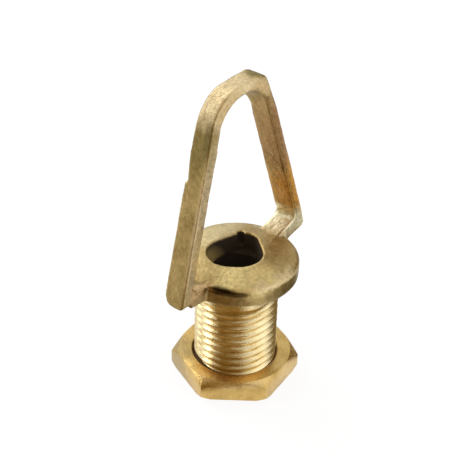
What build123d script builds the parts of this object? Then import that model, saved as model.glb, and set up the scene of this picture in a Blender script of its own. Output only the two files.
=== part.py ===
"""Cast triangular hook with a threaded stem and a thin hexagon nut.

Sizes are millimetres.
+Z is up along the stem, and z = 0 is the underside of the nut.
The loop stands in the X and Z plane, one leg on each side of the stem.
"""
import math
import os

from build123d import *

# Thread on the stem
THREAD_DIAMETER = 10.0
THREAD_PITCH = 1.0
THREAD_DEPTH = 0.55
GROOVE_MOUTH_WIDTH = 0.84
GROOVE_ROOT_WIDTH = 0.18
FIRST_GROOVE_HEIGHT = 0.11

# Nut
NUT_ACROSS_FLATS = 13.5
NUT_HEIGHT = 2.75
NUT_TOP_CORNER_CUT = 1.0
NUT_TOP_CORNER_DROP = 0.85
NUT_LOW_CORNER_CUT = 0.5
NUT_LOW_CORNER_DROP = 0.35
NUT_TURN = 9.0
NUT_RUNNING_CLEARANCE = 0.05
NUT_BORE_CHAMFER = 0.35

# Stem under the flange
STEM_LENGTH = 14.15
STEM_END_CHAMFER = 0.4
NECK_LENGTH = 2.3
NECK_DIAMETER = 9.3
BORE_DIAMETER = 6.4

# Flange
FLANGE_RADIUS = 7.25
FLANGE_RIM_HEIGHT = 2.3
FLANGE_DOME_RISE = 1.0
FLANGE_EDGE_RADIUS = 0.45

# Wire hole cast through the flange, wider than it is deep, with two lobes
HOLE_RADIUS = 2.8
HOLE_X = -0.27
HOLE_Y = -0.38
LEFT_LOBE_RADIUS = 2.9
LEFT_LOBE_X = -0.77
LEFT_LOBE_Y = 0.4
RIGHT_LOBE_RADIUS = 1.6
RIGHT_LOBE_X = 2.25
RIGHT_LOBE_Y = 0.87
HOLE_FLOOR_ABOVE_STEM = 0.5

# Loop, measured on its outer face before it leans
LOOP_HEIGHT = 23.85
LOOP_FOOT_HALF = 11.1
LOOP_TOP_HALF = 4.05
LEFT_LEG_SHIFT = 0.25
LEFT_FOOT_DROP = 0.3
RIGHT_SHOULDER_X = 3.6
RIGHT_BEND_HEIGHT = 19.15
LOOP_THICKNESS = 1.4
LOOP_TOP_THICKNESS = 1.2
LOOP_FOOT_WIDTH = 2.9
LOOP_TOP_WIDTH = 2.5
LEFT_SHOULDER_RADIUS = 4.2
RIGHT_SHOULDER_RADIUS = 1.3
RIGHT_BEND_RADIUS = 6.0
LOOP_FOOT_RADIUS = 0.7
LOOP_EDGE_RADIUS = 0.3
LOOP_LEAN = 3.0

# Opening's top corners and right side, which change from its front to its back
FRONT_LEFT_INNER_RADIUS = 3.8
FRONT_RIGHT_INNER_RADIUS = 3.2
FRONT_LEG_THINNER = 0.2
BACK_LEFT_INNER_RADIUS = 1.6
BACK_RIGHT_INNER_RADIUS = 5.8
BACK_LEG_THICKER = 0.15

# Lugs that carry the feet of the loop beside the flange
FOOT_ABOVE_STEM = 1.6
LUG_BELOW_FOOT = 1.1
LUG_TOP_ABOVE_FOOT = 1.75
LUG_ROOT = 5.6
LUG_CORNER_RADIUS = 0.8


def flange_top():
    """Height of the middle of the domed top."""
    return STEM_LENGTH + FLANGE_RIM_HEIGHT + FLANGE_DOME_RISE


def turn_down(blank, axis, drop, cut):
    """Chamfer the outer edge of the blank's last face along the axis."""
    face = blank.faces().sort_by(axis)[-1]
    return chamfer(face.edges(), drop, cut, reference=face)


def make_nut():
    """Thin hexagon nut with its corners turned down on both faces."""
    corner = NUT_ACROSS_FLATS / 2 / math.cos(math.radians(30))
    prism = extrude(RegularPolygon(corner, 6, rotation=NUT_TURN), NUT_HEIGHT)
    turned = Cylinder(corner, NUT_HEIGHT, align=(Align.CENTER, Align.CENTER, Align.MIN))
    turned = turn_down(turned, Axis.Z, NUT_TOP_CORNER_DROP, NUT_TOP_CORNER_CUT)
    turned = turn_down(turned, -Axis.Z, NUT_LOW_CORNER_DROP, NUT_LOW_CORNER_CUT)
    bore = THREAD_DIAMETER / 2 + NUT_RUNNING_CLEARANCE
    nut = (prism & turned) - Cylinder(
        bore, NUT_HEIGHT, align=(Align.CENTER, Align.CENTER, Align.MIN)
    )
    bore_edges = nut.edges().filter_by(GeomType.CIRCLE).filter_by(
        lambda edge: edge.radius < bore + 0.01
    )
    return chamfer(bore_edges, NUT_BORE_CHAMFER)


def make_thread_groove():
    """Right handed helical groove with a flat root, longer than the thread.

    Its mouth stands proud of the rod by so much that the groove's turns stay
    apart by half the width of a crest.
    """
    spare_turns = 2
    turns = math.ceil((STEM_LENGTH - NECK_LENGTH) / THREAD_PITCH) + 2 * spare_turns
    rod = THREAD_DIAMETER / 2
    flare = (GROOVE_MOUTH_WIDTH - GROOVE_ROOT_WIDTH) / 2 / THREAD_DEPTH
    root = GROOVE_ROOT_WIDTH / 2
    mouth = (GROOVE_MOUTH_WIDTH + THREAD_PITCH) / 4
    proud = (mouth - GROOVE_MOUTH_WIDTH / 2) / flare
    section = [
        (rod - THREAD_DEPTH, -root),
        (rod + proud, -mouth),
        (rod + proud, mouth),
        (rod - THREAD_DEPTH, root),
    ]
    faces = []
    for turn in range(turns):
        start = FIRST_GROOVE_HEIGHT + (turn - spare_turns) * THREAD_PITCH
        lines = [
            Edge.make_helix(THREAD_PITCH, THREAD_PITCH, radius, center=(0, 0, start + rise))
            for radius, rise in section
        ]
        for line, following in zip(lines, lines[1:] + lines[:1]):
            faces.append(Face.make_surface_from_curves(line, following))
    for turn in (0, turns):
        start = FIRST_GROOVE_HEIGHT + (turn - spare_turns) * THREAD_PITCH
        corners = [(radius, 0, start + rise) for radius, rise in section]
        faces.append(Face(Wire(Polyline(*corners, close=True).edges())))
    return Solid(Shell(faces))


def make_stem():
    """Threaded stem, with a plain neck under the flange."""
    thread_length = STEM_LENGTH - NECK_LENGTH
    stem = Cylinder(
        THREAD_DIAMETER / 2,
        thread_length,
        align=(Align.CENTER, Align.CENTER, Align.MIN),
    )
    stem = chamfer(stem.edges().filter_by(GeomType.CIRCLE), STEM_END_CHAMFER)
    stem = stem - make_thread_groove()
    neck = Pos(0, 0, thread_length - STEM_END_CHAMFER) * Cylinder(
        NECK_DIAMETER / 2,
        NECK_LENGTH + THREAD_PITCH,
        align=(Align.CENTER, Align.CENTER, Align.MIN),
    )
    return stem + neck


def make_flange():
    """Round flange with a domed top and rounded rim edges."""
    disc = Pos(0, 0, STEM_LENGTH) * Cylinder(
        FLANGE_RADIUS,
        FLANGE_RIM_HEIGHT + FLANGE_DOME_RISE,
        align=(Align.CENTER, Align.CENTER, Align.MIN),
    )
    dome_radius = (FLANGE_RADIUS**2 + FLANGE_DOME_RISE**2) / (2 * FLANGE_DOME_RISE)
    dome = Pos(0, 0, flange_top() - dome_radius) * Sphere(dome_radius)
    flange = disc & dome
    return fillet(flange.edges().filter_by(GeomType.CIRCLE), FLANGE_EDGE_RADIUS)


def loop_profile(left_inner_radius, right_inner_radius, thicker):
    """Outline of the loop and its lugs, seen along Y, before it leans.

    The right leg is made thicker on its inner side.
    """
    foot_z = STEM_LENGTH + FOOT_ABOVE_STEM
    top_z = foot_z + LOOP_HEIGHT
    slope = (LOOP_FOOT_HALF - LOOP_TOP_HALF) / LOOP_HEIGHT
    inset = LOOP_THICKNESS * math.sqrt(1 + slope**2)
    lug_top = foot_z + LUG_TOP_ABOVE_FOOT
    root_top = STEM_LENGTH + FLANGE_RIM_HEIGHT
    inner_top = top_z - LOOP_TOP_THICKNESS

    def outer_half(z):
        return LOOP_FOOT_HALF - slope * (z - foot_z)

    def inner_half(z):
        return outer_half(z) - inset

    left_foot_z = foot_z - LEFT_FOOT_DROP
    bend_z = foot_z + RIGHT_BEND_HEIGHT
    outer = [
        (-LUG_ROOT, foot_z - LUG_BELOW_FOOT),
        (-outer_half(left_foot_z) - LEFT_LEG_SHIFT, left_foot_z),
        (-outer_half(top_z) - LEFT_LEG_SHIFT, top_z),
        (RIGHT_SHOULDER_X, top_z),
        (outer_half(bend_z), bend_z),
        (outer_half(foot_z), foot_z),
        (LUG_ROOT, foot_z - LUG_BELOW_FOOT),
    ]
    inner = [
        (LUG_ROOT, root_top),
        (inner_half(lug_top) - thicker, lug_top),
        (inner_half(inner_top) - thicker, inner_top),
        (-inner_half(inner_top) - LEFT_LEG_SHIFT, inner_top),
        (-inner_half(lug_top) - LEFT_LEG_SHIFT, lug_top),
        (-LUG_ROOT, root_top),
    ]
    profile = make_face(Polyline(*outer, *inner, close=True))
    profile = round_corners(profile, [outer[2]], LEFT_SHOULDER_RADIUS)
    profile = round_corners(profile, [inner[3]], left_inner_radius)
    profile = round_corners(profile, [outer[3]], RIGHT_SHOULDER_RADIUS)
    profile = round_corners(profile, [outer[4]], RIGHT_BEND_RADIUS)
    profile = round_corners(profile, [inner[2]], right_inner_radius)
    profile = round_corners(profile, [outer[1], outer[5]], LOOP_FOOT_RADIUS)
    return round_corners(profile, [inner[1], inner[4]], LUG_CORNER_RADIUS)


def round_corners(profile, places, radius):
    """Round the corners of a flat profile that stand at the given places."""
    corners = [
        profile.vertices().sort_by_distance(Vector(x, y))[0] for x, y in places
    ]
    return fillet(corners, radius)


def make_loop():
    """Flat strip loop, narrower towards its top, with its long edges rounded."""
    foot_z = STEM_LENGTH + FOOT_ABOVE_STEM
    low_z = foot_z - 2 * LUG_BELOW_FOOT
    top_z = foot_z + LOOP_HEIGHT
    grow = (LOOP_FOOT_WIDTH - LOOP_TOP_WIDTH) / 2 / LOOP_HEIGHT
    low_half = LOOP_FOOT_WIDTH / 2 + grow * (foot_z - low_z)
    high_half = LOOP_TOP_WIDTH / 2 - grow * LUG_BELOW_FOOT
    front = loop_profile(
        FRONT_LEFT_INNER_RADIUS, FRONT_RIGHT_INNER_RADIUS, -FRONT_LEG_THINNER
    )
    back = loop_profile(BACK_LEFT_INNER_RADIUS, BACK_RIGHT_INNER_RADIUS, BACK_LEG_THICKER)
    strip = loft(
        [
            Plane.XZ.offset(LOOP_FOOT_WIDTH / 2 + LOOP_EDGE_RADIUS) * front,
            Plane.XZ.offset(-LOOP_FOOT_WIDTH / 2 - LOOP_EDGE_RADIUS) * back,
        ],
        ruled=True,
    )
    side = make_face(
        Polyline(
            (-low_half, low_z),
            (low_half, low_z),
            (high_half, top_z + LUG_BELOW_FOOT),
            (-high_half, top_z + LUG_BELOW_FOOT),
            close=True,
        )
    )
    wedge = extrude(Plane.YZ * side, 2 * LOOP_FOOT_HALF, both=True)
    loop = strip & wedge
    ends = loop.faces().sort_by(Axis.Y)
    loop = fillet(ends[0].edges() + ends[-1].edges(), LOOP_EDGE_RADIUS)
    pivot = Pos(0, 0, foot_z)
    return pivot * Rot(0, -LOOP_LEAN, 0) * pivot.inverse() * loop


def make_wire_hole():
    """Two lobed hole through the flange, open into the round bore below."""
    outline = make_hull(
        [
            *(Pos(HOLE_X, HOLE_Y) * Circle(HOLE_RADIUS)).edges(),
            *(Pos(LEFT_LOBE_X, LEFT_LOBE_Y) * Circle(LEFT_LOBE_RADIUS)).edges(),
            *(Pos(RIGHT_LOBE_X, RIGHT_LOBE_Y) * Circle(RIGHT_LOBE_RADIUS)).edges(),
        ]
    )
    floor = STEM_LENGTH + HOLE_FLOOR_ABOVE_STEM
    hole = Pos(0, 0, floor) * extrude(outline, 2 * (flange_top() - floor))
    bore = Cylinder(
        BORE_DIAMETER / 2, floor, align=(Align.CENTER, Align.CENTER, Align.MIN)
    )
    return hole + bore


def make_hook_casting():
    """Loop, lugs, flange and hollow stem as the one piece they are cast in."""
    return make_loop() + make_flange() + make_stem() - make_wire_hole()


os.makedirs("parts", exist_ok=True)
export_step(make_hook_casting(), "parts/hook_casting.step")
export_step(make_nut(), "parts/hex_nut.step")
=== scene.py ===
"""Looks of a cast brass loop hook with a threaded stem and a thin hexagon nut.

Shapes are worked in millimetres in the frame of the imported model, and are
brought to metres as each piece is finished.
"""

import logging
import math
from dataclasses import dataclass
from enum import Enum

import bmesh
import bpy
from mathutils import Matrix, Vector, noise


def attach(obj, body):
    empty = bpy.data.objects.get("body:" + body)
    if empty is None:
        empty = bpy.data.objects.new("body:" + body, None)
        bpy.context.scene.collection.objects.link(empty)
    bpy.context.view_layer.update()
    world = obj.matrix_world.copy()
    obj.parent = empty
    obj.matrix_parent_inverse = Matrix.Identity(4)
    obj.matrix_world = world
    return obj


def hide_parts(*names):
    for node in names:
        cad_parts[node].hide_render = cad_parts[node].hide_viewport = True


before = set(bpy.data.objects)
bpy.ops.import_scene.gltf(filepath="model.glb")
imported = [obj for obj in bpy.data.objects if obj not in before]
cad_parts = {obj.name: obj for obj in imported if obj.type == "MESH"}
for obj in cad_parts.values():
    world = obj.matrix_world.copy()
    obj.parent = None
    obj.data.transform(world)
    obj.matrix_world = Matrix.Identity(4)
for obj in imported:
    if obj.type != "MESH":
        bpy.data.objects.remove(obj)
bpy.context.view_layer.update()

# Metres in a millimetre, and the gap in millimetres under which two points are one.
MM = 0.001
NEAR = 1e-4
UP = Vector((0.0, 0.0, 1.0))
LOG = logging.getLogger("hook")

Colour = tuple[float, float, float]
Triple = tuple[float, float, float]
Solid = bmesh.types.BMesh
Edge = bmesh.types.BMEdge
Socket = bpy.types.NodeSocket
Material = bpy.types.Material
Thing = bpy.types.Object


class Joining(Enum):
    """How one solid meets another."""

    CUT = "DIFFERENCE"
    FUSE = "UNION"
    SHARE = "INTERSECT"


class Bench:
    """Makes and works closed solids with Blender's own operators."""

    @staticmethod
    def rod(low: float, high: float, radius: float, top_radius: float | None = None,
            sides: int = 96) -> Solid:
        """Make a round bar or a cone frustum along Z.

        Args:
            low: Height of the lower end.
            high: Height of the upper end.
            radius: Radius at the lower end.
            top_radius: Radius at the upper end, or None for a plain bar.
            sides: Number of flats round the bar.

        Returns:
            The closed solid.
        """
        solid = bmesh.new()
        bmesh.ops.create_cone(
            solid, cap_ends=True, segments=sides, radius1=radius,
            radius2=radius if top_radius is None else top_radius, depth=high - low,
        )
        bmesh.ops.translate(solid, vec=UP * (low + high) / 2, verts=solid.verts)
        return solid

    @staticmethod
    def turned(section: list[tuple[float, float]], steps: int = 128) -> Solid:
        """Turn a half section about Z.

        Args:
            section: Radius and height of each point, from axis to axis.
            steps: Number of steps in the turn.

        Returns:
            The closed solid of revolution.
        """
        solid = bmesh.new()
        points = [solid.verts.new((radius, 0.0, height)) for radius, height in section]
        edges = [solid.edges.new(pair) for pair in zip(points, points[1:])]
        bmesh.ops.spin(
            solid, geom=points + edges, cent=(0.0, 0.0, 0.0), axis=UP, dvec=(0.0, 0.0, 0.0),
            angle=math.tau, steps=steps, use_merge=True,
        )
        Bench.close(solid)
        return solid

    @staticmethod
    def rounded_face(solid: Solid, corners: list[Triple], depth: float) -> list[Edge]:
        """Add an upright face with rounded corners.

        Args:
            solid: Mesh that the face is added to.
            corners: X, Z and rounding radius of each corner, in order.
            depth: Y of the face.

        Returns:
            The edges round the face.
        """
        points = [solid.verts.new((x, depth, z)) for x, z, _ in corners]
        solid.faces.new(points)
        for index, (point, corner) in enumerate(zip(points, corners)):
            if corner[2] <= 0.0:
                continue
            here = Vector(corner[:2])
            before = (Vector(corners[index - 1][:2]) - here).normalized()
            after = (Vector(corners[(index + 1) % len(corners)][:2]) - here).normalized()
            bmesh.ops.bevel(
                solid, geom=[point], offset=corner[2] / math.tan(before.angle(after) / 2),
                offset_type="OFFSET", segments=12, profile=0.5, affect="VERTICES", material=-1,
            )
        return [edge for edge in solid.edges if abs(edge.verts[0].co.y - depth) < NEAR]

    @staticmethod
    def upright(front: list[Triple], back: list[Triple], half: float) -> Solid:
        """Make a plate that stands in the XZ plane between two outlines.

        Args:
            front: X, Z and rounding radius of the front outline's corners.
            back: The same for the back outline, corner for corner.
            half: Half of the plate's depth along Y.

        Returns:
            The closed solid.
        """
        solid = bmesh.new()
        rim = Bench.rounded_face(solid, front, -half) + Bench.rounded_face(solid, back, half)
        bmesh.ops.bridge_loops(solid, edges=rim)
        Bench.close(solid)
        return solid

    @staticmethod
    def close(solid: Solid, gap: float = NEAR) -> None:
        """Merge doubled points and turn all faces outwards.

        Args:
            solid: The mesh to mend.
            gap: Points nearer than this are merged.
        """
        bmesh.ops.remove_doubles(solid, verts=solid.verts, dist=gap)
        bmesh.ops.recalc_face_normals(solid, faces=solid.faces)

    @staticmethod
    def block(size: Triple, middle: Triple) -> Solid:
        """Make an upright block.

        Args:
            size: Its length along X, Y and Z.
            middle: Its middle.

        Returns:
            The closed solid.
        """
        solid = bmesh.new()
        bmesh.ops.create_cube(solid, size=1.0)
        bmesh.ops.scale(solid, vec=size, verts=solid.verts)
        Bench.move(solid, middle)
        return solid

    @staticmethod
    def move(solid: Solid, way: Triple) -> None:
        """Shift a solid along X, Y and Z."""
        bmesh.ops.translate(solid, vec=way, verts=solid.verts)

    @staticmethod
    def turn(solid: Solid, angle: float, axis: str, pivot: Triple = (0.0, 0.0, 0.0)) -> None:
        """Turn a solid by an angle in degrees about an axis through the pivot."""
        matrix = Matrix.Rotation(math.radians(angle), 3, axis)
        bmesh.ops.rotate(solid, verts=solid.verts, cent=pivot, matrix=matrix)

    @staticmethod
    def sharp_edges(solid: Solid, least: float) -> list[Edge]:
        """List the edges at which two faces meet at more than an angle.

        Args:
            solid: The solid that is searched.
            least: The angle, in degrees.

        Returns:
            The edges, in their own order.
        """
        return [
            edge for edge in solid.edges
            if len(edge.link_faces) == 2 and edge.calc_face_angle(0.0) > math.radians(least)
        ]

    @staticmethod
    def soften(solid: Solid, edges: list[Edge], width: float, segments: int,
               clamp: bool = False) -> None:
        """Round edges off.

        Args:
            solid: The solid that is worked.
            edges: The edges to round.
            width: Width of the rounding on each face.
            segments: Number of flats across the rounding.
            clamp: Whether roundings that would meet are held back.
        """
        bmesh.ops.bevel(
            solid, geom=edges, offset=width, offset_type="OFFSET", segments=segments,
            profile=0.5, affect="EDGES", clamp_overlap=clamp, material=-1,
        )

    @staticmethod
    def to_object(solid: Solid, name: str) -> Thing:
        """Put a solid into an object of its own.

        Args:
            solid: The mesh, which is freed.
            name: Name of the object.

        Returns:
            The linked object.
        """
        mesh = bpy.data.meshes.new(name)
        solid.to_mesh(mesh)
        solid.free()
        thing = bpy.data.objects.new(name, mesh)
        bpy.context.scene.collection.objects.link(thing)
        return thing

    @staticmethod
    def discard(thing: Thing) -> None:
        """Remove an object together with its mesh."""
        raw = thing.data
        bpy.data.objects.remove(thing)
        bpy.data.meshes.remove(raw)

    @staticmethod
    def taken(thing: Thing) -> Solid:
        """Take the object's finished mesh and remove the object.

        Args:
            thing: Object with its modifiers still live.

        Returns:
            The mesh with its modifiers worked in.
        """
        graph = bpy.context.evaluated_depsgraph_get()
        mesh = bpy.data.meshes.new_from_object(thing.evaluated_get(graph))
        solid = bmesh.new()
        solid.from_mesh(mesh)
        bpy.data.meshes.remove(mesh)
        Bench.discard(thing)
        return solid

    @staticmethod
    def meet(first: Solid, second: Solid, how: Joining) -> Solid:
        """Join, cut or share two solids. Both are used up.

        Args:
            first: The solid that is worked.
            second: The solid that meets it.
            how: Which of the three is wanted.

        Returns:
            The result.
        """
        work = Bench.to_object(first, "work")
        tool = Bench.to_object(second, "tool")
        modifier = work.modifiers.new("meet", "BOOLEAN")
        modifier.operation = how.value
        modifier.solver = "EXACT"
        modifier.object = tool
        result = Bench.taken(work)
        Bench.discard(tool)
        return result

    @staticmethod
    def recast(solid: Solid, grain: float) -> Solid:
        """Give the solid one even skin, as a casting has.

        Args:
            solid: The solid, which is used up.
            grain: Edge length of the skin's faces.

        Returns:
            The remeshed solid.
        """
        work = Bench.to_object(solid, "work")
        modifier = work.modifiers.new("recast", "REMESH")
        modifier.mode = "VOXEL"
        modifier.voxel_size = grain
        modifier.adaptivity = 0.0
        return Bench.taken(work)

    @staticmethod
    def finish(solid: Solid, name: str, body: str, slot: str, material: Material,
               smooth: float = 180.0) -> Thing:
        """Bring a solid to metres as a piece of the model.

        Args:
            solid: The solid in millimetres, which is used up.
            name: Name of the piece.
            body: Body that the piece rides on.
            slot: Material slot of the record; not used.
            material: The piece's material.
            smooth: Faces that meet at less than this many degrees shade smooth.

        Returns:
            The finished object.
        """
        bmesh.ops.scale(solid, vec=(MM, MM, MM), verts=solid.verts)
        limit = math.radians(smooth)
        for face in solid.faces:
            face.smooth = True
        for edge in solid.edges:
            edge.smooth = len(edge.link_faces) != 2 or edge.calc_face_angle(0.0) < limit
        open_edges = sum(not edge.is_manifold for edge in solid.edges)
        piece = Bench.to_object(solid, name)
        piece.data.materials.append(material)
        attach(piece, body)
        LOG.info("%s: %d faces, %d open edges", name, len(piece.data.polygons), open_edges)
        return piece


@dataclass(frozen=True)
class ThreadForm:
    """A metric thread of one millimetre pitch. Sizes in millimetres.

    Attributes:
        crest: Radius of the thread's crest.
        root: Radius of its root.
        rounding: Depth of the roundings at crest and root.
        pitch: Rise of one turn.
        steps: Number of flats in one turn.
    """

    crest: float = 4.985
    root: float = 4.46
    rounding: float = 0.03
    pitch: float = 1.0
    steps: int = 80

    def section(self, extra: float) -> list[tuple[float, float]]:
        """Give one pitch of the thread's outline.

        Args:
            extra: Added to every radius.

        Returns:
            Radius and share of the pitch of each point.
        """
        crest, root = self.crest + extra, self.root + extra
        return [
            (root, 0.02),
            (root - self.rounding, 0.11),
            (root, 0.20),
            (crest - self.rounding, 0.52),
            (crest, 0.56),
            (crest, 0.66),
            (crest - self.rounding, 0.70),
            (root, 1.02),
        ]

    def bar(self, low: float, high: float, extra: float = 0.0) -> Solid:
        """Make a solid threaded bar along Z, cut square at both ends.

        Args:
            low: Height of the lower end.
            high: Height of the upper end.
            extra: Added to every radius.

        Returns:
            The closed solid.
        """
        solid = bmesh.new()
        spare_turns = 2
        start = math.floor(low) - spare_turns
        turns = math.ceil(high) + spare_turns - start
        points = [
            solid.verts.new((radius, 0.0, start + share * self.pitch))
            for radius, share in self.section(extra)
        ]
        edges = [solid.edges.new(pair) for pair in zip(points, points[1:])]
        bmesh.ops.spin(
            solid, geom=points + edges, cent=(0.0, 0.0, 0.0), axis=UP,
            dvec=UP * (self.pitch / self.steps), angle=math.tau * turns,
            steps=self.steps * turns, use_merge=False,
        )
        bmesh.ops.remove_doubles(solid, verts=solid.verts, dist=NEAR)
        for height, direction in ((low, -1.0), (high, 1.0)):
            bmesh.ops.bisect_plane(
                solid, geom=solid.verts[:] + solid.edges[:] + solid.faces[:],
                plane_co=(0.0, 0.0, height), plane_no=(0.0, 0.0, direction), clear_outer=True,
            )
            rim = [
                edge for edge in solid.edges
                if edge.is_boundary and all(abs(v.co.z - height) < NEAR for v in edge.verts)
            ]
            bmesh.ops.contextual_create(solid, geom=rim)
        Bench.close(solid, NEAR / 10)
        return solid


@dataclass(frozen=True)
class Patch:
    """A place with a colour of its own. Most are painted highlights and painted shade.

    Attributes:
        middle: Its middle, in millimetres.
        reach: How far it goes from there along X, Y and Z, in millimetres.
        colour: Colour painted there.
        strength: How fully that colour covers what lies under it, up to 1.
        turn: Turn of the patch about Y, in degrees.
        rough: Added to the roughness there.
        crisp: Whether its edge runs evenly, where that of others is ragged.
    """

    middle: Triple
    reach: Triple
    colour: Colour
    strength: float
    turn: float = 0.0
    rough: float = 0.0
    crisp: bool = False


@dataclass(frozen=True)
class BrassLook:
    """Colours and gloss of one brass finish.

    Attributes:
        name: Name of the material.
        light: Colour of the light clouds of the broad pattern.
        middle: Colour between light and dark clouds.
        dark: Colour of the dark clouds.
        hollow: Painted shade inside the bore, as a dark colour.
        hollow_radius: Radius of what counts as inside the bore, in millimetres.
        hollow_top: Height up to which it does, in millimetres.
        patch: Repeats of the broad pattern per millimetre.
        speck: How far the fine specks lighten and darken the colour.
        rough: Middle value of the roughness.
        rough_swing: How far the specks move the roughness from there.
        grain: Repeats of the fine pattern per millimetre.
        grain_depth: Depth of the fine pattern, in millimetres.
        hollow_rough: The least roughness inside the bore.
        hollow_metal: How metallic the dull inside of the bore still is.
        patches: Places with a colour of their own, each over those before it.
        hollow_patches: Painted light, laid over the painted shade inside the bore.
    """

    name: str
    light: Colour
    middle: Colour
    dark: Colour
    hollow: Colour
    hollow_radius: float
    hollow_top: float
    patch: float
    speck: float
    rough: float
    rough_swing: float
    grain: float
    grain_depth: float
    hollow_rough: float = 0.75
    hollow_metal: float = 0.15
    patches: tuple[Patch, ...] = ()
    hollow_patches: tuple[Patch, ...] = ()

    def material(self) -> Material:
        """Build the node material.

        Returns:
            The new material.
        """
        sheet = NodeSheet(bpy.data.materials.new(self.name))
        place = sheet.add("ShaderNodeTexCoord").outputs["Object"]
        broad = sheet.noise(place, self.patch, detail=4.0, falloff=0.6)
        fine = sheet.noise(place, self.grain, detail=5.0, falloff=0.65)
        colour = sheet.ramp(broad, [(0.3, self.dark), (0.5, self.middle), (0.72, self.light)])
        rough = sheet.spread(fine, self.rough - self.rough_swing, self.rough + self.rough_swing)
        ragged = sheet.ragged(place, per_mm=0.8, depth=1.6)
        for patch in self.patches:
            mask = sheet.within(place if patch.crisp else ragged, patch)
            colour = sheet.blend(mask, colour, patch.colour)
            if patch.rough:
                change = sheet.combine("MULTIPLY", mask, patch.rough)
                rough = sheet.combine("ADD", rough, change)
        specks = sheet.spread(fine, 1.0 - self.speck, 1.0 + self.speck)
        colour = sheet.shade(colour, specks)
        # Painted shade: the bore is coloured dark, and painted light is laid on its wall.
        inside = sheet.hollow(place, self.hollow_radius, self.hollow_top)
        colour = sheet.blend(inside, colour, self.hollow)
        for patch in self.hollow_patches:
            colour = sheet.blend(sheet.within(place, patch), colour, patch.colour)
        least = sheet.combine("MULTIPLY", inside, self.hollow_rough)
        rough = sheet.combine("MAXIMUM", rough, least)
        metal = sheet.spread(inside, 1.0, self.hollow_metal, start=0.0, end=1.0)
        bump = sheet.add("ShaderNodeBump", {
            "Strength": 1.0, "Distance": self.grain_depth * MM, "Height": fine,
        })
        shader = sheet.add("ShaderNodeBsdfPrincipled", {
            "Metallic": metal,
            "Base Color": colour,
            "Roughness": rough,
            "Normal": bump.outputs["Normal"],
        })
        sheet.surface(shader.outputs["BSDF"])
        return sheet.owner


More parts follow.
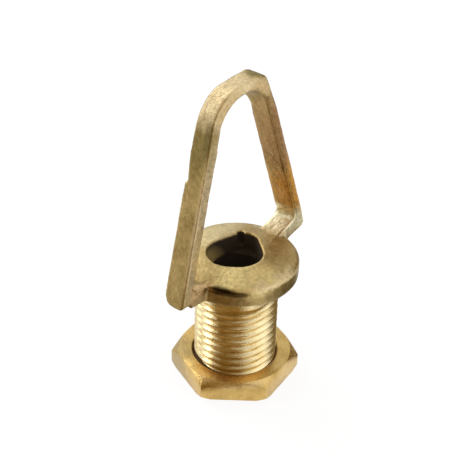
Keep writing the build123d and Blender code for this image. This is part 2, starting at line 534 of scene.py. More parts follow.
class NodeSheet:
    """Lays out the nodes of one material or world."""

    def __init__(self, owner: Material | bpy.types.World) -> None:
        """Start an empty node tree.

        Args:
            owner: The material or world that the nodes are for.
        """
        owner.use_nodes = True
        self.owner = owner
        self.tree = owner.node_tree
        self.tree.nodes.clear()
        self.count = 0

    def add(self, kind: str, inputs: dict[str | int, object] | None = None,
            **settings: str) -> bpy.types.Node:
        """Add a node to the right of the last.

        Args:
            kind: Blender's own name for the kind of node.
            inputs: Another node's socket, or a value, for each input it needs.
            settings: What the node's own settings are set to.

        Returns:
            The new node.
        """
        node = self.tree.nodes.new(kind)
        node.location = (220 * self.count, 0)
        self.count += 1
        for name, setting in settings.items():
            setattr(node, name, setting)
        for name, value in (inputs or {}).items():
            if isinstance(value, Socket):
                self.tree.links.new(value, node.inputs[name])
            else:
                node.inputs[name].default_value = value
        return node

    def surface(self, shader: Socket) -> None:
        """Make the shader the material's surface."""
        self.add("ShaderNodeOutputMaterial", {"Surface": shader})

    def seen(self) -> Socket:
        """Give a factor of one for camera, mirror and glass rays.

        Returns:
            The factor socket.
        """
        path = self.add("ShaderNodeLightPath")
        total = path.outputs["Is Camera Ray"]
        for name in ("Is Glossy Ray", "Is Transmission Ray"):
            total = self.combine("MAXIMUM", total, path.outputs[name])
        return total

    def noise(self, place: Socket, per_mm: float, detail: float, falloff: float) -> Socket:
        """Add a noise pattern.

        Args:
            place: Coordinates in metres.
            per_mm: Pattern repeats per millimetre.
            detail: Octaves of the pattern.
            falloff: Weight of each finer octave.

        Returns:
            The factor socket.
        """
        node = self.add("ShaderNodeTexNoise", {
            "Vector": place, "Scale": per_mm / MM, "Detail": detail, "Roughness": falloff,
        })
        return node.outputs["Fac"]

    def ramp(self, factor: Socket, stops: list[tuple[float, Colour]]) -> Socket:
        """Turn a factor into a colour.

        Args:
            factor: The value that picks the colour.
            stops: Value and colour of each stop, in order.

        Returns:
            The colour socket.
        """
        node = self.add("ShaderNodeValToRGB", {"Fac": factor})
        elements = node.color_ramp.elements
        for index, (position, colour) in enumerate(stops):
            stop = elements[index] if index < 2 else elements.new(position)
            stop.position = position
            stop.color = (*colour, 1.0)
        return node.outputs["Color"]

    def combine(self, operation: str, first: Socket, second: Socket | float = 0.0) -> Socket:
        """Work two values together, by Blender's own name for the operation."""
        return self.add("ShaderNodeMath", {0: first, 1: second}, operation=operation).outputs[0]

    def shade(self, colour: Socket, factor: Socket) -> Socket:
        """Darken or lighten a colour by a factor."""
        inputs = {0: colour, "Scale": factor}
        return self.add("ShaderNodeVectorMath", inputs, operation="SCALE").outputs[0]

    def blend(self, mask: Socket, under: Socket, over: Colour) -> Socket:
        """Lay a colour over another where the mask is."""
        inputs = {0: mask, 6: under, 7: (*over, 1.0)}
        return self.add("ShaderNodeMix", inputs, data_type="RGBA").outputs[2]

    def ragged(self, place: Socket, per_mm: float, depth: float) -> Socket:
        """Shift coordinates by a noise, so that edges run unevenly.

        Args:
            place: Coordinates in metres.
            per_mm: Pattern repeats per millimetre.
            depth: The most that a point shifts, in millimetres.

        Returns:
            The shifted coordinates.
        """
        pattern = self.add("ShaderNodeTexNoise", {
            "Vector": place, "Scale": per_mm / MM, "Detail": 3.0,
        })
        shift = self.add("ShaderNodeVectorMath", {
            0: pattern.outputs["Color"], 1: (depth * MM,) * 3, 2: (-depth * MM / 2,) * 3,
        }, operation="MULTIPLY_ADD")
        total = {0: place, 1: shift.outputs[0]}
        return self.add("ShaderNodeVectorMath", total, operation="ADD").outputs[0]

    def within(self, place: Socket, patch: Patch) -> Socket:
        """Give a soft mask of a patch.

        Args:
            place: Coordinates in metres.
            patch: The patch.

        Returns:
            The mask's socket, from 0 to the patch's strength.
        """
        mapping = self.add("ShaderNodeMapping", {
            "Vector": place,
            "Location": [part * MM for part in patch.middle],
            "Rotation": (0.0, math.radians(patch.turn), 0.0),
            "Scale": [part * MM for part in patch.reach],
        }, vector_type="TEXTURE")
        length = self.add("ShaderNodeVectorMath", {0: mapping.outputs[0]}, operation="LENGTH")
        return self.spread(length.outputs["Value"], patch.strength, 0.0, start=0.6, end=1.15)

    def hollow(self, place: Socket, radius: float, top: float) -> Socket:
        """Give a mask of what lies inside a round hole up to a height.

        Args:
            place: Coordinates in metres.
            radius: Radius of the hole, in millimetres.
            top: The height, in millimetres.

        Returns:
            The mask's socket, 1 inside the hole.
        """
        side_fade, top_fade = 0.1, 0.15
        parts = self.add("ShaderNodeSeparateXYZ", {0: place})
        across = self.combine("POWER", parts.outputs["X"], 2.0)
        along = self.combine("POWER", parts.outputs["Y"], 2.0)
        out = self.combine("SQRT", self.combine("ADD", across, along))
        inside = self.spread(out, 1.0, 0.0, radius * MM, (radius + side_fade) * MM)
        below = self.spread(parts.outputs["Z"], 1.0, 0.0, top * MM, (top + top_fade) * MM)
        return self.combine("MULTIPLY", inside, below)

    def spread(self, value: Socket, low: float, high: float, start: float = 0.3,
               end: float = 0.7) -> Socket:
        """Map a value's range, from start to end, onto one from low to high."""
        return self.add("ShaderNodeMapRange", {
            "Value": value, "From Min": start, "From Max": end, "To Min": low, "To Max": high,
        }).outputs["Result"]


@dataclass(frozen=True)
class OpeningSide:
    """The loop's opening on its front or its back, in millimetres.

    Attributes:
        left_radius: Rounding of its upper left corner.
        right_radius: Rounding of its upper right corner.
        leg_thicker: How much thicker the right leg is here than the left.
    """

    left_radius: float
    right_radius: float
    leg_thicker: float


@dataclass
class LoopCasting:
    """The loop, its lugs and the flange, cast together.

    Sizes are in millimetres, angles in degrees, and the loop's heights are
    those that it has before it leans.
    """

    foot_height: float = 15.75
    loop_height: float = 23.85
    foot_half: float = 11.1
    top_half: float = 4.05
    left_shift: float = 0.25
    left_foot_drop: float = 0.3
    shoulder_x: float = 3.6
    bend_height: float = 19.15
    thickness: float = 1.4
    top_thickness: float = 1.2
    foot_width: float = 2.9
    top_width: float = 2.5
    foot_round: float = 0.7
    foot_end: float = 0.72
    left_shoulder: float = 4.2
    right_shoulder: float = 1.3
    bend_radius: float = 6.0
    front: OpeningSide = OpeningSide(3.8, 3.2, -0.2)
    back: OpeningSide = OpeningSide(1.6, 5.8, 0.15)
    opening_foot_round: float = 0.8
    edge_round: float = 0.25
    lean: float = 3.0
    chip_place: Triple = (-5.63, 5.27, 29.55)
    chip_turn: float = 2.6
    lug_drop: float = 1.1
    lug_rise: float = 1.75
    lug_root: float = 5.6
    flange_radius: float = 7.25
    flange_low: float = 14.15
    flange_rim: float = 16.45
    flange_top: float = 17.45
    flange_round: float = 0.45
    hole_circles: tuple[Triple, ...] = (
        (-0.27, -0.38, 2.78),
        (-0.77, 0.4, 2.88),
        (2.25, 0.87, 1.58),
    )
    hole_floor: float = 0.5
    notch_place: Triple = (3.25, 2.3, 0.0)
    bore_radius: float = 3.2
    slit_start: float = 190.0
    slit_sweep: float = 50.0
    slit_drop: float = 0.42
    slit_fade: float = 0.7
    skin: float = 0.13
    swell: float = 0.04
    ripple: float = 0.02
    shrink: float = 0.01

    @property
    def loop_top(self) -> float:
        """Height of the loop's top."""
        return self.foot_height + self.loop_height

    def outer_half(self, height: float) -> float:
        """Half of the loop's width at a height, before the left leg's shift."""
        slope = (self.foot_half - self.top_half) / self.loop_height
        return self.foot_half - slope * (height - self.foot_height)

    def width_at(self, height: float) -> float:
        """Width of the strip along Y at a height."""
        share = (height - self.foot_height) / self.loop_height
        return self.foot_width + share * (self.top_width - self.foot_width)

    def outline(self) -> list[Triple]:
        """Give the corners of the loop's outer outline.

        Returns:
            X, Z and rounding radius of each corner.
        """
        left_foot = self.foot_height - self.left_foot_drop
        bend = self.foot_height + self.bend_height
        low = self.foot_height - self.lug_drop
        return [
            (-self.outer_half(left_foot) - self.left_shift, left_foot, self.foot_round),
            (-self.top_half - self.left_shift, self.loop_top, self.left_shoulder),
            (self.shoulder_x, self.loop_top, self.right_shoulder),
            (self.outer_half(bend), bend, self.bend_radius),
            (self.foot_half, self.foot_height, self.foot_round),
            (self.lug_root, low, 0.0),
            (-self.lug_root, low, 0.0),
        ]

    def opening(self, side: OpeningSide) -> list[Triple]:
        """Give the corners of the opening on one side of the loop.

        Args:
            side: What the front or the back has of its own.

        Returns:
            X, Z and rounding radius of each corner.
        """
        inset = self.thickness * math.hypot(
            1.0, (self.foot_half - self.top_half) / self.loop_height
        )
        high, low = self.loop_top - self.top_thickness, self.foot_height + self.lug_rise
        high_half, low_half = self.outer_half(high) - inset, self.outer_half(low) - inset
        return [
            (-low_half - self.left_shift, low, self.opening_foot_round),
            (-high_half - self.left_shift, high, side.left_radius),
            (high_half - side.leg_thicker, high, side.right_radius),
            (low_half - side.leg_thicker, low, self.opening_foot_round),
            (self.lug_root, self.flange_rim, 0.0),
            (-self.lug_root, self.flange_rim, 0.0),
        ]

    def loop(self) -> Solid:
        """Make the leaning strip loop with its lugs.

        Returns:
            The closed solid.
        """
        half, past, level = self.foot_width / 2, 0.01, 0.1
        outer = Bench.upright(self.outline(), self.outline(), half)
        opening = Bench.upright(self.opening(self.front), self.opening(self.back), half + past)
        loop = Bench.meet(outer, opening, Joining.CUT)
        Bench.close(loop)
        for point in loop.verts:
            point.co.y *= self.width_at(point.co.z) / self.foot_width
        long_edges = [
            edge for edge in Bench.sharp_edges(loop, 60.0)
            if abs(edge.verts[0].co.y - edge.verts[1].co.y) < level
        ]
        Bench.soften(loop, long_edges, self.edge_round, 3)
        Bench.turn(loop, -self.lean, "Y", (0.0, 0.0, self.foot_height))
        return Bench.meet(loop, self.foot_trim(), Joining.CUT)

    def foot_trim(self) -> Solid:
        """Make the cutter that rounds the end of the left foot, seen from its side.

        Returns:
            The closed cutter.
        """
        half_length, past = 3.0, 0.1
        low, middle = self.foot_height - 3.0, self.foot_height + self.foot_end
        left = -self.foot_half - 0.6
        trim = Bench.block((4.0, 5.0, middle - low), (left, 0.0, (middle + low) / 2))
        tongue = Bench.rod(-half_length, half_length, self.foot_width / 2 + past)
        Bench.turn(tongue, 90.0, "Y")
        Bench.move(tongue, (left, -0.2, middle))
        return Bench.meet(trim, tongue, Joining.CUT)

    def edge_chip(self) -> Solid:
        """Make the cutter for the shallow chip in the left leg's outer edge.

        It is laid out as the photograph sees it, with X to the right and Y
        towards the camera, and then brought to the model's own directions.

        Returns:
            The closed cutter.
        """
        depth, width, height = 2.0, 4.0, 3.5
        chip = Bench.block((depth, width, height), (-depth / 2, 0.0, height / 2))
        Bench.turn(chip, self.chip_turn, "Y")
        Bench.move(chip, self.chip_place)
        right, near = Vector((0.629, -0.777, 0.0)), Vector((-0.777, -0.629, 0.0))
        seen = Matrix((right, near, UP)).transposed()
        bmesh.ops.rotate(chip, verts=chip.verts, matrix=seen)
        bmesh.ops.reverse_faces(chip, faces=chip.faces)
        Bench.close(chip)
        return chip

    def flange(self) -> Solid:
        """Make the round flange with its low dome and rounded rim.

        Returns:
            The closed solid.
        """
        rise = self.flange_top - self.flange_rim
        edge = self.flange_radius - self.flange_round
        dome = [
            (self.flange_radius * share, self.flange_rim + rise * (1 - share**2))
            for share in (0.85, 0.7, 0.5, 0.25)
        ]
        return Bench.turned([
            (0.0, self.flange_low),
            (edge, self.flange_low),
            (edge + 0.3, self.flange_low + 0.12),
            (self.flange_radius, self.flange_low + self.flange_round),
            (self.flange_radius, self.flange_rim - self.flange_round + 0.1),
            (edge + 0.32, self.flange_rim - 0.02),
            (edge, self.flange_rim + 0.12),
            *dome,
            (0.0, self.flange_top),
        ])

    def wire_hole(self) -> Solid:
        """Make the cutter for the uneven wire hole and the bore below it.

        Returns:
            The closed cutter, a little wider at the top than at the hole's floor.
        """
        floor, above = self.flange_low + self.hole_floor, self.flange_top + 0.5
        hole = bmesh.new()
        for x, y, radius in self.hole_circles:
            for height, share in ((floor, 0.94), (above, 1.03)):
                middle = Matrix.Translation((x, y, height))
                bmesh.ops.create_circle(
                    hole, segments=48, radius=radius * share, matrix=middle,
                )
        hull = bmesh.ops.convex_hull(hole, input=hole.verts)
        loose = {item for item in hull["geom_interior"] if isinstance(item, bmesh.types.BMVert)}
        bmesh.ops.delete(hole, geom=list(loose), context="VERTS")
        Bench.close(hole)
        notch = Bench.rod(floor + 0.8, above, 0.35, top_radius=0.5, sides=24)
        Bench.move(notch, self.notch_place)
        hole = Bench.meet(hole, notch, Joining.FUSE)
        bore = Bench.rod(self.flange_low - 1.0, floor + 0.05, self.bore_radius)
        return Bench.meet(hole, bore, Joining.FUSE)

    def rim_slit(self) -> Solid:
        """Make the cutter for the dark casting fold under the rim's front edge.

        Returns:
            The closed cutter, which comes out of the rim towards its far end.
        """
        slit = bmesh.new()
        bmesh.ops.create_circle(slit, cap_ends=True, segments=16, radius=0.3)
        bmesh.ops.scale(slit, vec=(2.2, 1.1, 1.0), verts=slit.verts)
        Bench.turn(slit, 90.0, "X")
        Bench.move(slit, (self.flange_radius + 0.05, 0.0, self.flange_rim - self.slit_drop))
        Bench.turn(slit, self.slit_start, "Z")
        start, sweep = math.radians(self.slit_start), math.radians(self.slit_sweep)
        bmesh.ops.spin(
            slit, geom=slit.verts[:] + slit.edges[:] + slit.faces[:], cent=(0.0, 0.0, 0.0),
            axis=UP, dvec=(0.0, 0.0, 0.0), angle=sweep, steps=24, use_merge=False,
        )
        bmesh.ops.holes_fill(slit, edges=slit.edges, sides=0)
        for point in slit.verts:
            share = (math.atan2(point.co.y, point.co.x) % math.tau - start) / sweep
            out = Vector((point.co.x, point.co.y, 0.0)).normalized()
            point.co += out * self.slit_fade * max(0.0, share) ** 1.5
        Bench.close(slit)
        return slit

    def weather(self, casting: Solid) -> None:
        """Move the skin's points by the small unevenness of a casting.

        Args:
            casting: The remeshed casting.
        """
        wide_per_mm, small_per_mm, apart = 0.45, 1.7, Vector((7.0, 3.0, 1.0))
        for _ in range(2):
            bmesh.ops.smooth_vert(
                casting, verts=casting.verts, factor=0.5,
                use_axis_x=True, use_axis_y=True, use_axis_z=True,
            )
        casting.normal_update()
        moves = []
        for point in casting.verts:
            wide = noise.noise(point.co * wide_per_mm)
            small = noise.noise(point.co * small_per_mm + apart)
            depth = self.swell * wide + self.ripple * small - self.shrink
            moves.append(point.normal * depth)
        for point, move in zip(casting.verts, moves):
            point.co += move

    def build(self, material: Material) -> Thing:
        """Make the finished casting.

        Args:
            material: The cast brass.

        Returns:
            The piece.
        """
        hole = self.wire_hole()
        loop = Bench.meet(self.loop(), self.edge_chip(), Joining.CUT)
        body = Bench.meet(self.flange(), loop, Joining.FUSE)
        body = Bench.meet(body, self.rim_slit(), Joining.CUT)
        body = Bench.meet(body, hole, Joining.CUT)
        body = Bench.recast(body, self.skin)
        self.weather(body)
        piece = Bench.finish(body, "cast_loop_and_flange", "hook", "cast_brass", material)
        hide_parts("hook_casting")
        return piece


@dataclass
class ThreadedStem:
    """The hollow stem turned and threaded on the casting. Sizes in millimetres."""

    thread: ThreadForm
    thread_top: float = 11.85
    foot_chamfer: float = 0.45
    top_chamfer: float = 0.4
    neck_radius: float = 4.65
    neck_top: float = 14.4
    neck_overlap: float = 0.08
    bore_radius: float = 3.2

    def build(self, material: Material) -> Thing:
        """Make the finished stem.

        Args:
            material: The turned brass.

        Returns:
            The piece.
        """
        crest, past = self.thread.crest + 0.02, 0.5
        envelope = Bench.turned([
            (0.0, 0.0),
            (crest - self.foot_chamfer, 0.0),
            (crest, self.foot_chamfer),
            (crest, self.thread_top - self.top_chamfer),
            (crest - self.top_chamfer, self.thread_top),
            (0.0, self.thread_top),
        ])
        stem = self.thread.bar(-past, self.thread_top + past)
        stem = Bench.meet(stem, envelope, Joining.SHARE)
        neck = Bench.rod(self.thread_top - self.neck_overlap, self.neck_top, self.neck_radius)
        stem = Bench.meet(stem, neck, Joining.FUSE)
        bore = Bench.rod(-1.0, self.neck_top + 1.0, self.bore_radius)
        stem = Bench.meet(stem, bore, Joining.CUT)
        piece = Bench.finish(stem, "threaded_stem", "hook", "cast_brass", material, 35.0)
        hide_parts("hook_casting")
        return piece


@dataclass
class LockNut:
    """The thin hexagon nut. Sizes in millimetres and degrees."""

    thread: ThreadForm
    across_flats: float = 13.5
    height: float = 2.75
    turn: float = 9.0
    clearance: float = 0.05
    edge_round: float = 0.09
    mouth_depth: float = 0.35

    def envelope(self, corner: float) -> Solid:
        """Make the round solid that turns the hexagon's corners down on both faces.

        Args:
            corner: Distance of the hexagon's corners from its axis.

        Returns:
            The closed solid.
        """
        section = [
            (0.0, 0.0),
            (corner - 0.5, 0.0),
            (corner, 0.35),
            (corner, self.height - 0.85),
            (corner - 1.0, self.height),
            (0.0, self.height),
        ]
        return Bench.turned(section, 192)

    def hole(self) -> Solid:
        """Make the cutter for the threaded hole with its two wider mouths.

        Returns:
            The closed cutter.
        """
        past, flare = 0.5, 0.8
        hole = self.thread.bar(-0.8, self.height + 0.8, self.clearance)
        mouth = self.thread.crest + self.clearance
        wide, narrow = mouth + flare, mouth - 0.05
        for low, high, first, last in (
            (-past, self.mouth_depth, wide, narrow),
            (self.height - self.mouth_depth, self.height + past, narrow, wide),
        ):
            hole = Bench.meet(hole, Bench.rod(low, high, first, last), Joining.FUSE)
        return hole

    def build(self, material: Material) -> Thing:
        """Make the finished nut.

        Args:
            material: The nut's brass.

        Returns:
            The piece.
        """
        corner = self.across_flats / 2 / math.cos(math.pi / 6)
        nut = Bench.rod(0.0, self.height, corner, sides=6)
        first = next(iter(nut.verts)).co
        Bench.turn(nut, self.turn - math.degrees(math.atan2(first.y, first.x)), "Z")
        nut = Bench.meet(nut, self.envelope(corner), Joining.SHARE)
        Bench.close(nut)
        Bench.soften(nut, Bench.sharp_edges(nut, 12.0), self.edge_round, 2, clamp=True)
        nut = Bench.meet(nut, self.hole(), Joining.CUT)
        Bench.close(nut)
        piece = Bench.finish(nut, "lock_nut", "nut", "nut_brass", material, 30.0)
        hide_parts("hex_nut")
        return piece


@dataclass
class Studio:
    """Floor, light and camera. Sizes in millimetres and degrees.

    The cards stand for a dark room. Only reflections show them.
    """

    frame_pixels: float = 470.0
    focal_pixels: float = 1282.0
    distance: float = 150.0
    azimuth: float = 51.0
    elevation: float = 34.8
    roll: float = 1.85
    target_height: float = 16.55
    target_pixel: tuple[float, float] = (237.8, 255.0)
    floor_half: float = 1500.0
    floor_glow: float = 0.85
    world_light: float = 0.7
    light_height: float = 20.0
    dusk: Colour = (0.25, 0.16, 0.055)
    brown: Colour = (0.2, 0.15, 0.08)

    def axes(self) -> tuple[Vector, Vector, Vector]:
        """Give the camera's own directions.

        Returns:
            The directions to its right, up and back.
        """
        above, tilt = math.radians(self.elevation), math.radians(self.roll)
        back = self.toward(0.0, math.cos(above), math.sin(above))
        right = self.toward(1.0, 0.0, 0.0)
        up = back.cross(right)
        return (
            right * math.cos(tilt) + up * math.sin(tilt),
            up * math.cos(tilt) - right * math.sin(tilt),
            back,
        )

    def camera(self) -> None:
        """Place the camera at the photograph's viewpoint."""
        right, up, back = self.axes()
        data = bpy.data.cameras.new("camera")
        data.sensor_width = 36.0
        data.lens = self.focal_pixels / self.frame_pixels * data.sensor_width
        middle = self.frame_pixels / 2
        data.shift_x = (middle - self.target_pixel[0]) / self.frame_pixels
        data.shift_y = (self.target_pixel[1] - middle) / self.frame_pixels
        data.clip_start = 0.005
        data.clip_end = 20.0
        camera = bpy.data.objects.new("camera", data)
        place = (Vector((0.0, 0.0, self.target_height)) + back * self.distance) * MM
        turn = Matrix((right, up, back)).transposed()
        camera.matrix_world = Matrix.Translation(place) @ turn.to_4x4()
        bpy.context.scene.collection.objects.link(camera)
        bpy.context.scene.camera = camera

    def toward(self, right: float, near: float, up: float) -> Vector:
        """Give a place or direction as seen from the camera's side.

        Args:
            right: Its part to the right.
            near: Its part towards the camera, along the floor.
            up: Its part upwards.

        Returns:
            The same in the model's own directions.
        """
        around = math.radians(self.azimuth)
        side = Vector((math.cos(around), -math.sin(around), 0.0))
        ahead = Vector((-math.sin(around), -math.cos(around), 0.0))
        return side * right + ahead * near + UP * up

    def floor(self) -> None:
        """Make the pale floor, which keeps a soft shadow."""
        solid = bmesh.new()
        bmesh.ops.create_grid(solid, x_segments=1, y_segments=1, size=self.floor_half * MM)
        floor = Bench.to_object(solid, "floor")
        sheet = NodeSheet(bpy.data.materials.new("pale floor"))
        lit = sheet.add("ShaderNodeBsdfDiffuse", {"Color": (0.8, 0.8, 0.8, 1.0)})
        faint = sheet.add("ShaderNodeBsdfDiffuse", {"Color": (0.25, 0.25, 0.25, 1.0)})
        glow = sheet.add("ShaderNodeEmission", {
            "Color": (1.0, 1.0, 1.0, 1.0), "Strength": self.floor_glow,
        })
        both = sheet.add("ShaderNodeAddShader", {0: glow.outputs[0], 1: faint.outputs[0]})
        mix = sheet.add("ShaderNodeMixShader", {
            0: sheet.seen(), 1: lit.outputs[0], 2: both.outputs[0],
        })
        sheet.surface(mix.outputs[0])
        floor.data.materials.append(sheet.owner)

    def world(self) -> None:
        """Light the scene evenly, with a white background."""
        world = bpy.data.worlds.new("studio")
        bpy.context.scene.world = world
        sheet = NodeSheet(world)
        level = sheet.spread(sheet.seen(), self.world_light, 1.0, start=0.0, end=1.0)
        background = sheet.add("ShaderNodeBackground", {"Strength": level})
        sheet.add("ShaderNodeOutputWorld", {"Surface": background.outputs[0]})

    def aim(self, thing: Thing, place: Vector) -> None:
        """Stand a lamp or card at a place and face it to the hook."""
        middle = Vector((0.0, 0.0, self.light_height))
        turn = (place - middle).to_track_quat("Z", "Y").to_matrix().to_4x4()
        thing.matrix_world = Matrix.Translation(place * MM) @ turn

    def lamp(self, name: str, place: Vector, size: float, power: float) -> None:
        """Add a soft square lamp.

        Args:
            name: Name of the lamp.
            place: Where it stands.
            size: Side of its face.
            power: Its power, in watts.
        """
        data = bpy.data.lights.new(name, "AREA")
        data.shape = "SQUARE"
        data.size = size * MM
        data.energy = power
        lamp = bpy.data.objects.new(name, data)
        bpy.context.scene.collection.objects.link(lamp)
        self.aim(lamp, place)

    def card(self, name: str, place: Vector, width: float, height: float,
             shade: Colour) -> Thing:
        """Stand a card up, facing the hook.

        Args:
            name: Name of the card.
            place: Its middle.
            width: Its width.
            height: Its height.
            shade: Its colour.

        Returns:
            The card.
        """
        solid = bmesh.new()
        bmesh.ops.create_grid(solid, x_segments=1, y_segments=1, size=0.5)
        bmesh.ops.scale(solid, vec=(width * MM, height * MM, 1.0), verts=solid.verts)
        card = Bench.to_object(solid, name)
        self.aim(card, place)
        sheet = NodeSheet(bpy.data.materials.new(name))
        glow = sheet.add("ShaderNodeEmission", {"Color": (*shade, 1.0)})
        sheet.surface(glow.outputs[0])
        card.data.materials.append(sheet.owner)
        card.visible_camera = False
        card.visible_shadow = False
        card.visible_diffuse = False
        return card

    def lay(self, name: str, around: float, near: float, length: float, width: float,
            shade: Colour, level: float = 0.05, aside: float = 0.0) -> None:
        """Lay a card flat.

        Args:
            name: Name of the card.
            around: Angle from the camera's side to the card, to the right.
            near: Distance from the stem's axis to the card's near edge.
            length: Its length, away from the stem.
            width: Its width.
            shade: Its colour.
            level: Its height over the floor.
            aside: Its shift to the right of that line.
        """
        turn = math.radians(around)
        far = near + length / 2
        place = self.toward(
            far * math.sin(turn) + aside * math.cos(turn),
            far * math.cos(turn) - aside * math.sin(turn),
            level,
        )
        card = self.card(name, place, width, length, shade)
        ahead = self.toward(math.sin(turn), math.cos(turn), 0.0)
        heading = math.atan2(ahead.y, ahead.x) - math.pi / 2
        card.matrix_world = Matrix.Translation(place * MM) @ Matrix.Rotation(heading, 4, "Z")

    def build(self) -> None:
        """Set up the whole studio."""
        self.camera()
        self.world()
        self.floor()
        self.lamp("right_softbox", self.toward(150.0, 25.0, 150.0), 120.0, 0.02)
        self.lamp("left_softbox", self.toward(-120.0, -140.0, 140.0), 130.0, 0.1)
        self.lamp("high_softbox", self.toward(-185.0, 0.0, 145.0), 60.0, 0.035)
        self.lay("overhead_flag", 0.0, -50.0, 160.0, 176.0, self.dusk, level=200.0, aside=-36.0)
        self.card("room_flag", self.toward(-54.0, 134.0, 82.0), 330.0, 190.0, self.dusk)
        self.card("back_flag", self.toward(88.0, -76.0, 31.0), 90.0, 128.0, self.brown)
        self.card("left_flag", self.toward(-115.0, 42.0, 8.0), 70.0, 50.0, (0.7, 0.62, 0.5))
        self.lay("front_card", -21.0, 9.2, 22.0, 30.0, self.dusk)
        self.lay("front_far_card", -21.0, 30.6, 80.0, 100.0, self.dusk)
        self.lay("side_card", 82.0, 19.0, 60.0, 32.0, (0.2, 0.17, 0.09))
        self.lay("back_card", 115.0, 9.0, 30.0, 13.0, self.brown)
        self.lay("far_card", 185.0, 42.0, 130.0, 120.0, (0.15, 0.12, 0.05))


PAINTED_HIGHLIGHT: Colour = (0.88, 0.7, 0.4)
CREAM_HIGHLIGHT: Colour = (1.0, 0.88, 0.6)
STRAW_HIGHLIGHT: Colour = (0.92, 0.74, 0.33)
SAND_HIGHLIGHT: Colour = (0.84, 0.68, 0.43)
WHEAT_HIGHLIGHT: Colour = (0.74, 0.6, 0.35)
FAWN: Colour = (0.7, 0.57, 0.3)
COPPER_HIGHLIGHT: Colour = (0.8, 0.55, 0.28)
BURNT_ORANGE: Colour = (0.7, 0.35, 0.045)
CHESTNUT_SHADE: Colour = (0.54, 0.37, 0.15)
UMBER: Colour = (0.43, 0.24, 0.1)
BARK_SHADE: Colour = (0.43, 0.31, 0.14)
PEAT_SHADE: Colour = (0.36, 0.28, 0.12)
OLIVE: Colour = (0.26, 0.2, 0.065)
MOSS_SHADE: Colour = (0.22, 0.18, 0.07)
BLACK_SHADE: Colour = (0.04, 0.024, 0.01)

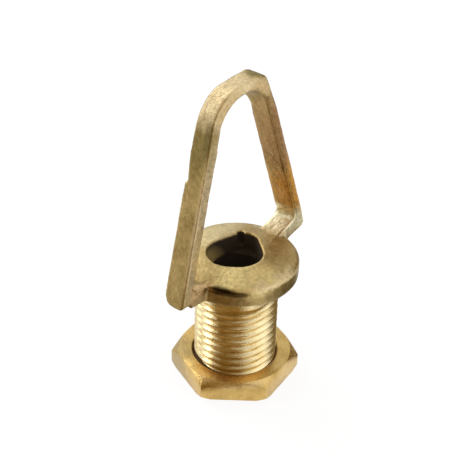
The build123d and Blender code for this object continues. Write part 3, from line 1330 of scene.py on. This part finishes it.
CAST = BrassLook(
    name="cast brass",
    light=(0.62, 0.47, 0.2),
    middle=(0.48, 0.35, 0.14),
    dark=(0.34, 0.235, 0.085),
    hollow=(0.05, 0.03, 0.014),
    hollow_radius=4.5,
    hollow_top=16.85,
    patch=0.35,
    speck=0.24,
    rough=0.4,
    rough_swing=0.07,
    grain=2.3,
    grain_depth=0.07,
    patches=(
        # The right leg, a darker brown, and orange towards its foot.
        Patch((6.7, 0.0, 29.0), (2.0, 4.0, 13.0), UMBER, 0.9, turn=-19.5),
        Patch((8.9, 0.0, 22.5), (1.8, 4.0, 5.5), BURNT_ORANGE, 0.85, turn=-19.5),
        # The left leg: a darker patch below the shoulder, part stain and part painted dark
        # reflection, and a painted highlight over its front face.
        Patch((-6.2, 0.4, 33.0), (2.0, 1.8, 4.0), OLIVE, 0.7, turn=13.5),
        Patch((-7.2, -1.5, 25.0), (3.0, 0.7, 10.5), SAND_HIGHLIGHT, 0.9, turn=13.5, crisp=True),
        # The shoulder and the top: painted highlights, and painted dark reflections along the
        # back edges.
        Patch((-4.7, 0.0, 37.6), (2.4, 4.0, 2.4), WHEAT_HIGHLIGHT, 1.0),
        Patch((-3.4, -1.4, 37.9), (2.6, 0.7, 2.6), PAINTED_HIGHLIGHT, 0.9),
        Patch((-2.0, 0.0, 39.4), (3.2, 4.0, 1.3), PAINTED_HIGHLIGHT, 0.9, rough=-0.06),
        Patch((-3.9, -1.25, 38.0), (2.6, 0.4, 2.6), PAINTED_HIGHLIGHT, 1.0, rough=0.25, crisp=True),
        Patch((-3.7, 1.45, 38.3), (2.8, 0.5, 2.4), BLACK_SHADE, 1.0, crisp=True),
        Patch((-0.8, 1.45, 39.6), (3.0, 0.5, 1.2), BLACK_SHADE, 1.0, crisp=True),
        # Painted dark reflection on the left leg's outer face, under the shoulder.
        Patch((-7.1, -0.75, 34.8), (0.8, 0.7, 3.4), MOSS_SHADE, 0.8, turn=13.5, crisp=True),
        Patch((-0.4, -1.4, 38.6), (3.0, 0.6, 1.3), PAINTED_HIGHLIGHT, 0.8, crisp=True),
        Patch((1.5, -1.25, 38.0), (2.0, 0.4, 1.6), PAINTED_HIGHLIGHT, 1.0, rough=0.3, crisp=True),
        # Painted shade on the rounding at the right of the top, then a darker tone towards the
        # right shoulder.
        Patch((1.75, -0.2, 39.6), (1.1, 1.1, 0.9), OLIVE, 1.0, crisp=True),
        Patch((3.4, 0.0, 38.9), (1.5, 4.0, 1.5), OLIVE, 0.25),
        # The two lugs, each with a painted highlight.
        Patch((8.6, 0.0, 17.5), (3.2, 4.0, 1.9), CREAM_HIGHLIGHT, 1.0),
        Patch((-8.2, -1.4, 16.4), (1.9, 0.9, 1.9), COPPER_HIGHLIGHT, 0.9),
        # The flange's dome: a painted highlight at the front left, a lighter tone at the back,
        # and painted dark reflection on the right.
        Patch((-3.4, -4.6, 17.0), (4.5, 3.5, 2.0), STRAW_HIGHLIGHT, 0.9),
        Patch((1.5, 5.5, 16.9), (6.0, 3.0, 1.5), FAWN, 0.9),
        Patch((4.6, -2.5, 16.9), (3.2, 5.0, 1.5), CHESTNUT_SHADE, 0.6),
        # The rim: a painted highlight along its upper edge, painted shade below it, and painted
        # shadow round the fold.
        Patch((-1.2, -6.5, 16.3), (3.8, 1.5, 0.5), PAINTED_HIGHLIGHT, 0.8),
        Patch((-6.5, -2.5, 15.2), (4.2, 4.6, 1.0), BARK_SHADE, 0.8, crisp=True),
        Patch((3.0, -4.0, 14.9), (7.0, 6.0, 0.8), PEAT_SHADE, 0.7, crisp=True),
        Patch((-6.9, -2.5, 16.2), (1.1, 0.95, 0.52), BLACK_SHADE, 0.95, crisp=True),
        Patch((-6.5, -3.4, 16.2), (1.3, 1.6, 0.5), BLACK_SHADE, 0.97, crisp=True),
        Patch((-5.6, -4.8, 16.0), (1.4, 1.5, 0.4), BLACK_SHADE, 0.75, crisp=True),
    ),
    hollow_patches=(
        # Painted light on the bore's left wall.
        Patch((-2.5, 3.0, 14.7), (3.2, 2.9, 2.2), (0.5, 0.36, 0.12), 1.0),
    ),
)
TURNED = BrassLook(
    name="turned brass",
    light=(0.94, 0.8, 0.47),
    middle=(0.89, 0.72, 0.4),
    dark=(0.76, 0.58, 0.27),
    hollow=(0.05, 0.032, 0.015),
    hollow_radius=3.3,
    hollow_top=20.0,
    patch=0.5,
    speck=0.08,
    rough=0.14,
    rough_swing=0.04,
    grain=5.0,
    grain_depth=0.02,
    # Painted shade low on the stem's front, just above the nut.
    patches=(Patch((-4.4, -2.4, 3.2), (3.2, 3.2, 3.0), (0.6, 0.44, 0.2), 0.6),),
)
NUT = BrassLook(
    name="nut brass",
    light=(0.78, 0.56, 0.22),
    middle=(0.67, 0.45, 0.15),
    dark=(0.52, 0.33, 0.1),
    hollow=(0.2, 0.12, 0.04),
    hollow_radius=5.15,
    hollow_top=20.0,
    patch=0.4,
    speck=0.12,
    rough=0.3,
    rough_swing=0.06,
    grain=4.0,
    grain_depth=0.03,
    patches=(
        # A painted highlight on the nut's front, along its top edge.
        Patch((-5.2, -4.4, 3.0), (4.2, 4.2, 1.4), (0.9, 0.66, 0.3), 0.9),
        # Painted shade on the nut's left side.
        Patch((-5.0, 5.2, 1.5), (3.0, 3.0, 2.5), (0.45, 0.33, 0.14), 0.8),
    ),
)


def main() -> None:
    """Build the pieces and the studio, in order."""
    logging.basicConfig(level=logging.INFO, format="%(name)s: %(message)s")
    scene = bpy.context.scene
    scene.view_settings.view_transform = "Standard"
    thread = ThreadForm()
    LoopCasting().build(CAST.material())
    ThreadedStem(thread).build(TURNED.material())
    LockNut(thread).build(NUT.material())
    Studio().build()


if __name__ == "__main__":
    main()
